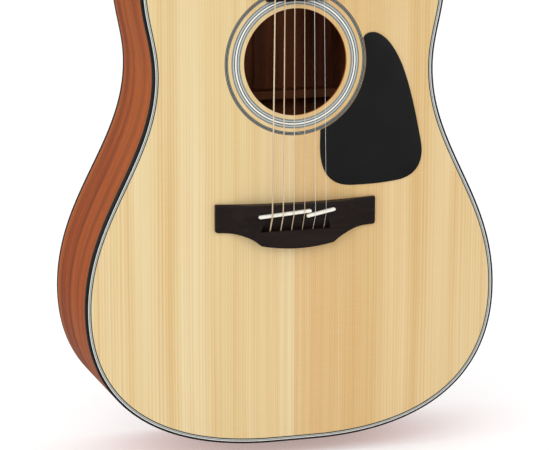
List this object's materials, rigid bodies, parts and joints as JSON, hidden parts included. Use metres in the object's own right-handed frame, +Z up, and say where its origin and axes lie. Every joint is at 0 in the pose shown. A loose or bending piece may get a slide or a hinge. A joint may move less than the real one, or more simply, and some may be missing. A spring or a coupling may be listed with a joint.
{
  "type": "acoustic guitar",
  "caption": "Steel-string acoustic guitar with a dreadnought body, pinless bridge, split saddle, black pickguard, bound edges and geared tuning machines that turn.",
  "frame": {"origin": "centre of the strap button's end face, the lowest point of the upright guitar", "axes": "+Z up the neck, -Y out of the soundboard, +X to the treble side"},
  "size_m": [0.4006, 0.1421, 1.0586],
  "materials": {
    "spruce_top": "pale spruce with fine straight grain, clear satin lacquer",
    "mahogany": "reddish brown mahogany, clear gloss lacquer",
    "neck_wood": "mahogany, satin lacquer",
    "brace_spruce": "bare quarter-sawn spruce",
    "rosewood": "near-black brown rosewood, oiled satin",
    "binding": "black binding, polished",
    "purfling": "fine black and white lines",
    "rosette": "fine black, grey and white rings under lacquer",
    "pickguard": "black, satin",
    "bone": "bone white, satin",
    "chrome": "polished chrome",
    "plain_string": "plain steel wire",
    "wound_string": "bronze-wound, fine winding",
    "rod_steel": "plain steel"
  },
  "bodies": {
    "guitar": {"soundboard": "spruce_top", "rosette_inner_ring": "rosette", "rosette_outer_ring": "rosette", "back": "mahogany", "rim_treble": "mahogany", "rim_bass": "mahogany", "top_binding": "binding", "top_purfling": "purfling", "back_binding": "binding", "top_lining": "mahogany", "back_lining": "mahogany", "neck_block": "mahogany", "tail_block": "mahogany", "strap_button": "chrome", "x_brace_treble": "brace_spruce", "x_brace_bass": "brace_spruce", "transverse_brace": "brace_spruce", "tone_bar_upper": "brace_spruce", "tone_bar_lower": "brace_spruce", "bridge_plate": "rosewood", "back_strip": "brace_spruce", "back_brace_1": "brace_spruce", "back_brace_2": "brace_spruce", "back_brace_3": "brace_spruce", "back_brace_4": "brace_spruce", "pickguard": "pickguard", "bridge": "rosewood", "saddle_long": "bone", "saddle_short": "bone", "neck": "neck_wood", "heel_cap": "binding", "fingerboard": "rosewood", "nut": "bone", "truss_rod": "rod_steel", "headplate": "rosewood", "tuner_case_1": "chrome", "string_1": "plain_string", "tuner_case_2": "chrome", "string_2": "plain_string", "tuner_case_3": "chrome", "string_3": "wound_string", "tuner_case_4": "chrome", "string_4": "wound_string", "tuner_case_5": "chrome", "string_5": "wound_string", "tuner_case_6": "chrome", "string_6": "wound_string"},
    "button_1": {"tuner_button_1": "chrome"},
    "post_1": {"tuner_post_1": "chrome"},
    "button_2": {"tuner_button_2": "chrome"},
    "post_2": {"tuner_post_2": "chrome"},
    "button_3": {"tuner_button_3": "chrome"},
    "post_3": {"tuner_post_3": "chrome"},
    "button_4": {"tuner_button_4": "chrome"},
    "post_4": {"tuner_post_4": "chrome"},
    "button_5": {"tuner_button_5": "chrome"},
    "post_5": {"tuner_post_5": "chrome"},
    "button_6": {"tuner_button_6": "chrome"},
    "post_6": {"tuner_post_6": "chrome"},
    "rod_nut": {"truss_rod_nut": "rod_steel"}
  },
  "joints": [
    {"name": "button_1_turn", "type": "hinge", "parent": "guitar", "child": "button_1", "pos_m": [0.02124, -0.03664, 0.91461], "axis": [1, 0, 0], "continuous": true},
    {"name": "post_1_turn", "type": "hinge", "parent": "guitar", "child": "post_1", "pos_m": [0.02124, -0.03912, 0.9235], "axis": [0, 0.9659, -0.2588], "continuous": true},
    {"name": "button_2_turn", "type": "hinge", "parent": "guitar", "child": "button_2", "pos_m": [0.02291, -0.02603, 0.95421], "axis": [1, 0, 0], "continuous": true},
    {"name": "post_2_turn", "type": "hinge", "parent": "guitar", "child": "post_2", "pos_m": [0.02291, -0.02851, 0.9631], "axis": [0, 0.9659, -0.2588], "continuous": true},
    {"name": "button_3_turn", "type": "hinge", "parent": "guitar", "child": "button_3", "pos_m": [0.02458, -0.01542, 0.99381], "axis": [1, 0, 0], "continuous": true},
    {"name": "post_3_turn", "type": "hinge", "parent": "guitar", "child": "post_3", "pos_m": [0.02458, -0.0179, 1.00271], "axis": [0, 0.9659, -0.2588], "continuous": true},
    {"name": "button_4_turn", "type": "hinge", "parent": "guitar", "child": "button_4", "pos_m": [-0.02458, -0.01542, 0.99381], "axis": [-1, 0, 0], "continuous": true},
    {"name": "post_4_turn", "type": "hinge", "parent": "guitar", "child": "post_4", "pos_m": [-0.02458, -0.0179, 1.00271], "axis": [0, 0.9659, -0.2588], "continuous": true},
    {"name": "button_5_turn", "type": "hinge", "parent": "guitar", "child": "button_5", "pos_m": [-0.02291, -0.02603, 0.95421], "axis": [-1, 0, 0], "continuous": true},
    {"name": "post_5_turn", "type": "hinge", "parent": "guitar", "child": "post_5", "pos_m": [-0.02291, -0.02851, 0.9631], "axis": [0, 0.9659, -0.2588], "continuous": true},
    {"name": "button_6_turn", "type": "hinge", "parent": "guitar", "child": "button_6", "pos_m": [-0.02124, -0.03664, 0.91461], "axis": [-1, 0, 0], "continuous": true},
    {"name": "post_6_turn", "type": "hinge", "parent": "guitar", "child": "post_6", "pos_m": [-0.02124, -0.03912, 0.9235], "axis": [0, 0.9659, -0.2588], "continuous": true},
    {"name": "rod_nut_turn", "type": "hinge", "parent": "guitar", "child": "rod_nut", "pos_m": [0, -0.0568, 0.458], "axis": [0, 0, 1], "range_deg": [-180, 180]}
  ],
  "couplings": [
    {"joint": "post_1_turn", "follows": "button_1_turn", "ratio": 0.071429},
    {"joint": "post_2_turn", "follows": "button_2_turn", "ratio": 0.071429},
    {"joint": "post_3_turn", "follows": "button_3_turn", "ratio": 0.071429},
    {"joint": "post_4_turn", "follows": "button_4_turn", "ratio": 0.071429},
    {"joint": "post_5_turn", "follows": "button_5_turn", "ratio": 0.071429},
    {"joint": "post_6_turn", "follows": "button_6_turn", "ratio": 0.071429}
  ]
}
